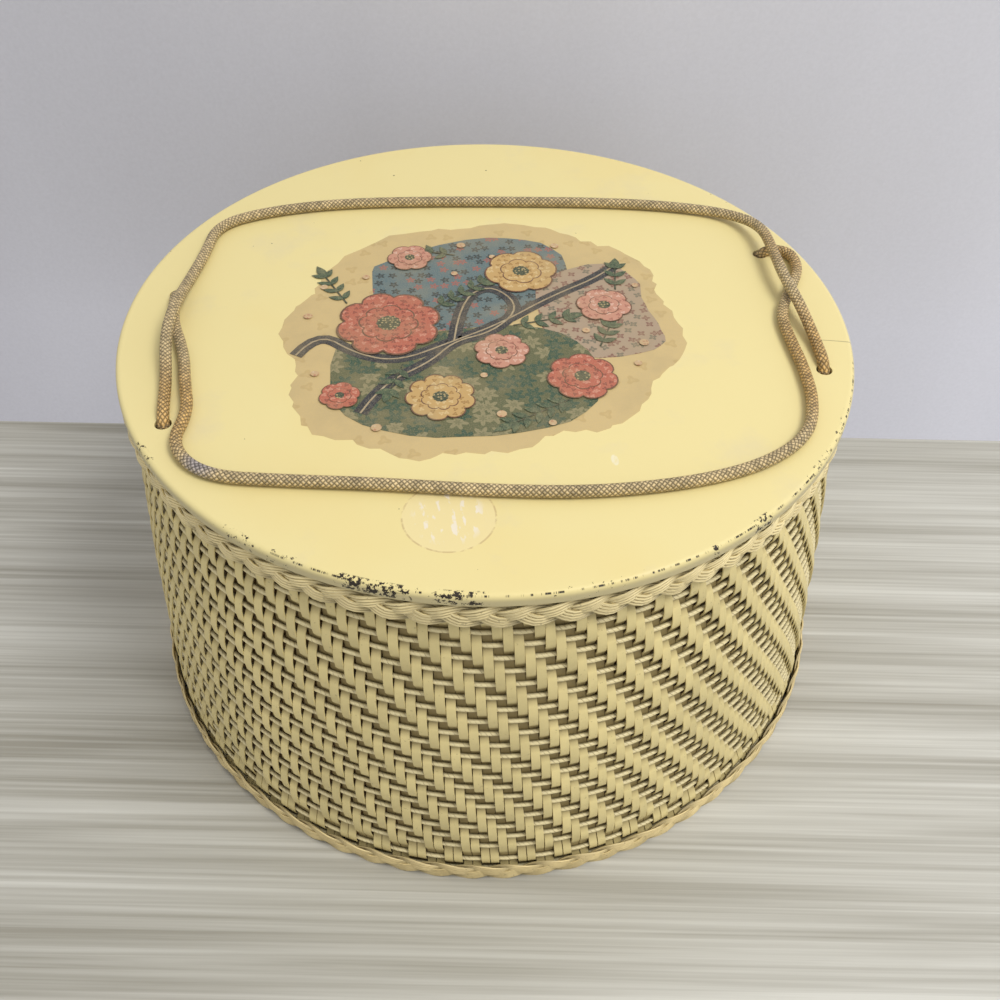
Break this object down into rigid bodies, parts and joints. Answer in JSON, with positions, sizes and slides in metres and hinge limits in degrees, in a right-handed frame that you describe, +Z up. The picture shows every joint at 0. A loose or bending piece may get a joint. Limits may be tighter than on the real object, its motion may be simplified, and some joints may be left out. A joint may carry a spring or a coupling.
{
  "type": "round woven sewing basket",
  "caption": "Round woven sewing basket with a painted board lid that slides up two braided cord handles, plaited rim and foot, raised base board.",
  "frame": {"origin": "centre of the underside, on the floor, in the middle of the foot braid", "axes": "+Z up out of the basket; +X along the pair of lid holes that each handle spans; +Y towards the back, where the longer handle lies"},
  "size_m": [0.359, 0.359, 0.2083],
  "materials": {
    "weave": "lacquered twisted paper fibre, golden tan, satin",
    "bare_board": "bare brown hardboard and wood",
    "painted_board": "cream-yellow gloss paint on board, chipped at the edge",
    "cord": "round braided rayon cord, taupe, golden where it was covered",
    "brads": "plain steel wire"
  },
  "bodies": {
    "basket": {"woven_wall": "weave", "warp_splints": "weave", "base_braid": "weave", "rim_braid": "weave", "base_board": "bare_board", "rim_hoop": "bare_board", "base_brads": "brads", "rim_brads": "brads", "cord_tail_left_front": "cord", "cord_tail_right_front": "cord", "cord_tail_left_back": "cord", "cord_tail_right_back": "cord", "knot_left_front": "cord", "knot_right_front": "cord", "knot_left_back": "cord", "knot_right_back": "cord"},
    "lid": {"lid_board": "painted_board"},
    "back_handle": {"back_handle": "cord"},
    "front_handle": {"front_handle": "cord"}
  },
  "joints": [
    {"name": "lid_lift", "type": "slide", "parent": "basket", "child": "lid", "axis": [0, 0, 1], "range_m": [0, 0.11], "deforming": ["cord_tail_left_front", "cord_tail_right_front", "cord_tail_left_back", "cord_tail_right_back"]},
    {"name": "back_handle_swing", "type": "hinge", "parent": "lid", "child": "back_handle", "pos_m": [0, -0.056, 0.1958], "axis": [1, 0, 0], "range_deg": [0, 55]},
    {"name": "front_handle_swing", "type": "hinge", "parent": "lid", "child": "front_handle", "pos_m": [0, 0.0355, 0.1958], "axis": [-1, 0, 0], "range_deg": [0, 55]}
  ],
  "couplings": [
    {"joint": "front_handle_swing", "follows": "back_handle_swing", "ratio": 1}
  ]
}
